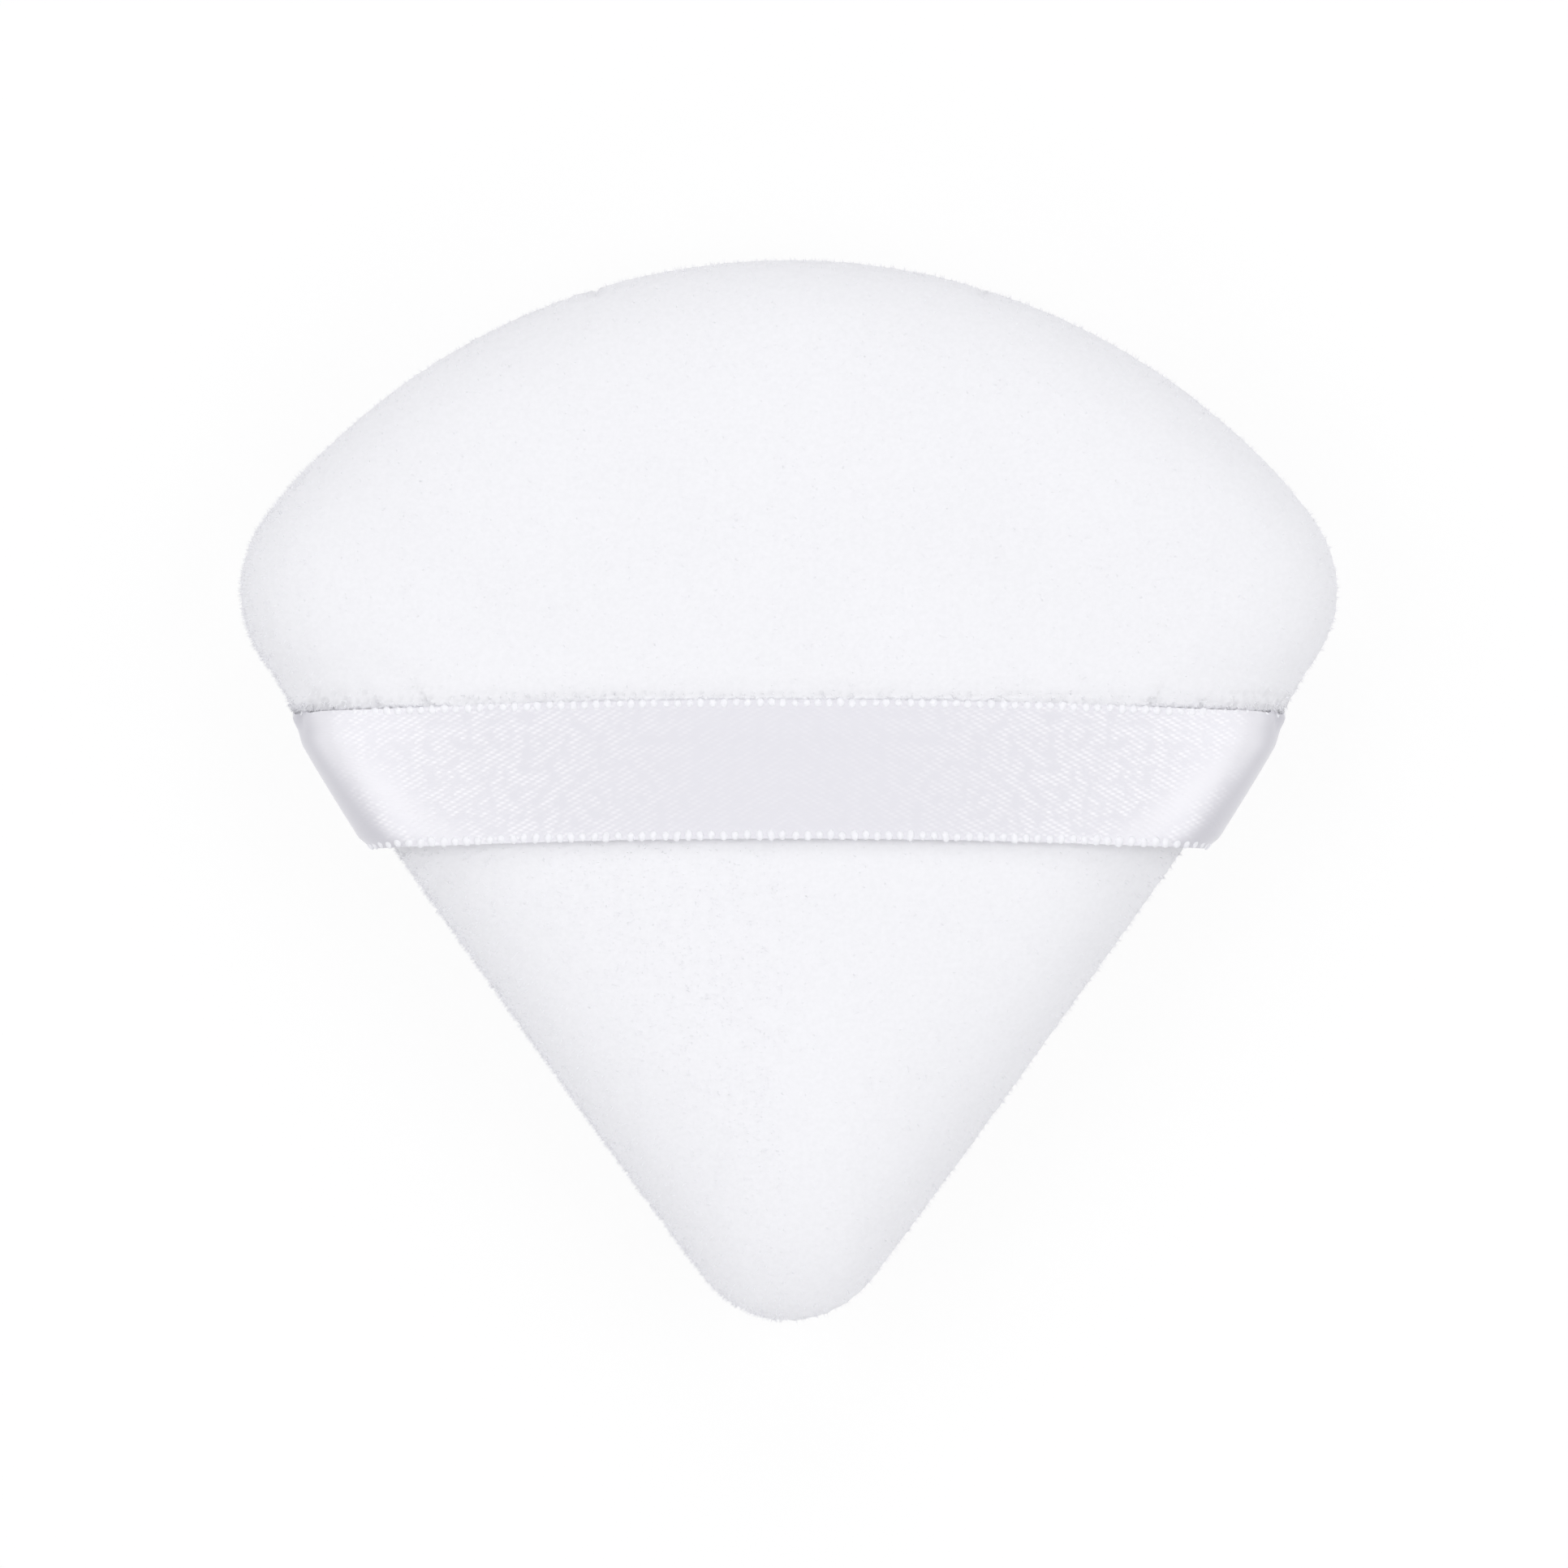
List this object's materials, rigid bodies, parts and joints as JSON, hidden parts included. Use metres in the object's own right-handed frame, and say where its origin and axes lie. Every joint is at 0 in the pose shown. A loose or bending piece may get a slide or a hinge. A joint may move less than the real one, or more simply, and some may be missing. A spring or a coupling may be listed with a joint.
{
  "type": "powder puff",
  "caption": "Fan-shaped velour powder puff: sewn covers over a sponge core, with a flat satin ribbon across the front that lifts for the fingers and falls back.",
  "frame": {"origin": "Middle of the puff's width and length, at the flat of the back cover that it rests on", "axes": "+X across the width, to the right as seen from the ribbon's side; +Y from the narrow tip to the broad arc; +Z out of the ribbon's face"},
  "size_m": [0.07, 0.0676, 0.0144],
  "materials": {
    "velour": "matte",
    "satin_ribbon": "satin",
    "sponge": "matte",
    "sewing_thread": "matte"
  },
  "bodies": {
    "puff": {"front_cover": "velour", "back_cover": "velour", "sponge_core": "sponge", "ribbon_tail_left": "satin_ribbon", "ribbon_tail_right": "satin_ribbon", "needle_thread": "sewing_thread", "bobbin_thread": "sewing_thread", "closing_thread": "sewing_thread"},
    "finger_band": {"ribbon_band": "satin_ribbon"}
  },
  "joints": [
    {"name": "band_lift", "type": "slide", "parent": "puff", "child": "finger_band", "axis": [0, 0, 1], "range_m": [0, 0.008], "stiffness_N_per_m": 10}
  ]
}
